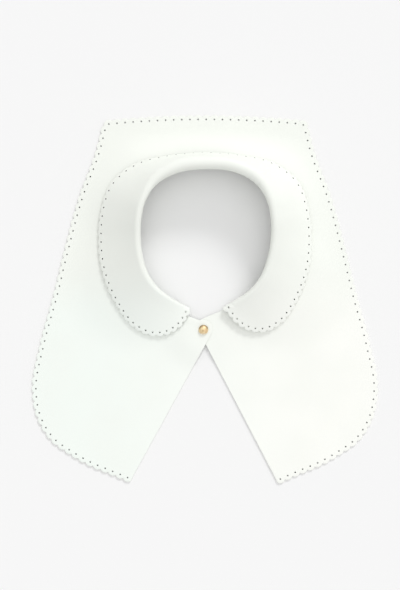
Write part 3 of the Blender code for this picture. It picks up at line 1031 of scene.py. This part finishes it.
def gold(name):
    """Gold plate brushed round the stud, with a painted dark reflection in one spot and along the back
    rim, and a painted bright reflection along the front rim."""
    paint = Paint(bpy.data.materials.new(name))
    to_axis = (OUTLINE_MIDDLE[0] - STUD_X, OUTLINE_MIDDLE[1] - STUD_Y, 0)
    scaled = {0: paint.place(), 1: (1 / MM,) * 3, 2: to_axis}
    about = paint.node("ShaderNodeVectorMath", {"operation": "MULTIPLY_ADD"}, scaled)
    flat = {0: about, 1: (1, 1, 0)}
    in_plan = paint.node("ShaderNodeVectorMath", {"operation": "MULTIPLY"}, flat)
    away = paint.node("ShaderNodeVectorMath", {"operation": "LENGTH"}, {0: in_plan}, "Value")
    ends = {0: in_plan, 1: DARK_REFLECTION_SPOT}
    to_spot = paint.node("ShaderNodeVectorMath", {"operation": "DISTANCE"}, ends, "Value")
    back = paint.node("ShaderNodeSeparateXYZ", None, {0: about}, "Y")
    patch = paint.noise(about, PATCH_SCALE)
    # Painted dark reflection: a deeper spot left of and below the middle of the dome
    spot = paint.between(to_spot + patch, SPOT_STARTS, SPOT_FULL) * SPOT_SHARE
    rim = paint.between(away + patch * RIM_PATCHES, RIM_STARTS, RIM_FULL)
    back_rim = rim * paint.between(back, BACK_STARTS, BACK_FULL)
    brushed = {"W": away, "Scale": BRUSH_SCALE, "Detail": 2}
    lines = paint.node("ShaderNodeTexNoise", {"noise_dimensions": "1D"}, brushed, "Fac")
    plate = paint.mix(paint.between(patch, PATCH_STARTS, PATCH_FULL), GOLD_PALE, GOLD_DEEP)
    # Painted bright reflection along the front rim
    plate = paint.mix(paint.between(back, -RIM_STARTS, -RIM_FULL), plate, GOLD_REFLECTED_BRIGHT)
    plate = paint.mix(spot, plate, GOLD_REFLECTED_DARK)
    paint.set(
        # Painted dark reflection along the back rim
        Base_Color=paint.mix(back_rim, plate, GOLD_RIM_REFLECTED_DARK),
        Metallic=1.0,
        Roughness=GOLD_ROUGH + PATCH_ROUGH * patch,
        Normal=paint.bump(lines, BRUSH_STRENGTH, BRUSH_DEPTH),
    )
    return paint.owner


def table_top():
    """The pale surface below the collar."""
    paint = Paint(bpy.data.materials.new("table"))
    fine = paint.noise(paint.place(), TABLE_SCALE)
    paint.set(
        Base_Color=paint.mix(fine, TABLE_LOW, TABLE_HIGH),
        Roughness=TABLE_ROUGH,
        Specular_IOR_Level=TABLE_SHEEN,
    )
    mesh = bmesh.new()
    bmesh.ops.create_grid(mesh, x_segments=1, y_segments=1, size=TABLE_SIZE * MM / 2)
    bmesh.ops.translate(mesh, verts=mesh.verts, vec=(0, 0, -TABLE_BELOW * MM))
    data = bpy.data.meshes.new("table")
    mesh.to_mesh(data)
    mesh.free()
    data.materials.append(paint.owner)
    obj = bpy.data.objects.new("table", data)
    bpy.context.scene.collection.objects.link(obj)


def lights():
    """A white room, brightest overhead, and one lamp far away at the back right.

    The room's strength is an even part, plus parts that grow to the right and to the front, plus
    the overhead part times a power of the height of the direction."""
    room = Paint(bpy.data.worlds.new("room"))
    toward = room.node("ShaderNodeTexCoord", output="Generated")
    right, back, height = (
        room.node("ShaderNodeSeparateXYZ", None, {0: toward}, axis) for axis in "XYZ"
    )
    overhead = height.maths("POWER", height.maths("MAXIMUM", height, 0), OVERHEAD_POWER)
    strength = ROOM_EVEN + ROOM_RIGHT * right - ROOM_FRONT * back + ROOM_OVERHEAD * overhead
    background = room.tree.nodes["Background"]
    room.join(background.inputs["Strength"], strength)
    room.join(background.inputs["Color"], WHITE)
    bpy.context.scene.world = room.owner
    side, up = math.radians(LAMP_AZIMUTH), math.radians(LAMP_ELEVATION)
    lamp = bpy.data.lights.new("lamp", "SUN")
    lamp.angle = math.radians(LAMP_SPREAD)
    lamp.energy = LAMP_STRENGTH
    obj = bpy.data.objects.new("lamp", lamp)
    obj.rotation_euler = (math.pi / 2 - up, 0, math.pi - side)
    bpy.context.scene.collection.objects.link(obj)


def camera():
    """Straight above, the back of the neck at the top, framed as the photograph is."""
    across = (PHOTO_WIDTH / 2 - COLLAR_PIXEL[0]) * MM_A_PIXEL - OUTLINE_MIDDLE[0]
    up = (COLLAR_PIXEL[1] - PHOTO_HEIGHT / 2) * MM_A_PIXEL - OUTLINE_MIDDLE[1]
    view = bpy.data.cameras.new("camera")
    view.sensor_fit = "VERTICAL"
    view.sensor_height = SENSOR
    view.lens = SENSOR * CAMERA_HEIGHT / (PHOTO_HEIGHT * MM_A_PIXEL)
    obj = bpy.data.objects.new("camera", view)
    obj.location = (across * MM, up * MM, CAMERA_HEIGHT * MM)
    bpy.context.scene.collection.objects.link(obj)
    bpy.context.scene.camera = obj


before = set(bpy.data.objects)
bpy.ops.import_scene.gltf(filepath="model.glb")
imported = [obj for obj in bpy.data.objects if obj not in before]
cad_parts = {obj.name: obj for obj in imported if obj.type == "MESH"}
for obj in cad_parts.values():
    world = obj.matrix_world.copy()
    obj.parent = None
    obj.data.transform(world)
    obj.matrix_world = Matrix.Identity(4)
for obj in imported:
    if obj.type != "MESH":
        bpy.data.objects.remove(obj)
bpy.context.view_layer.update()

bpy.context.scene.view_settings.view_transform = "Standard"
camera()
lights()
table_top()

grain_side = leather_face("leather")
cut_side = leather_edge("leather_cut")
bib_piece = bib(grain_side, cut_side)
collar_piece = collar(grain_side, cut_side)
stitches(thread("thread"))
gold_plate = gold("gold_plate")
stud(gold_plate)
stud_back = bpy.data.objects["stud_back"]
stud_back.data.materials.clear()
stud_back.data.materials.append(gold_plate)
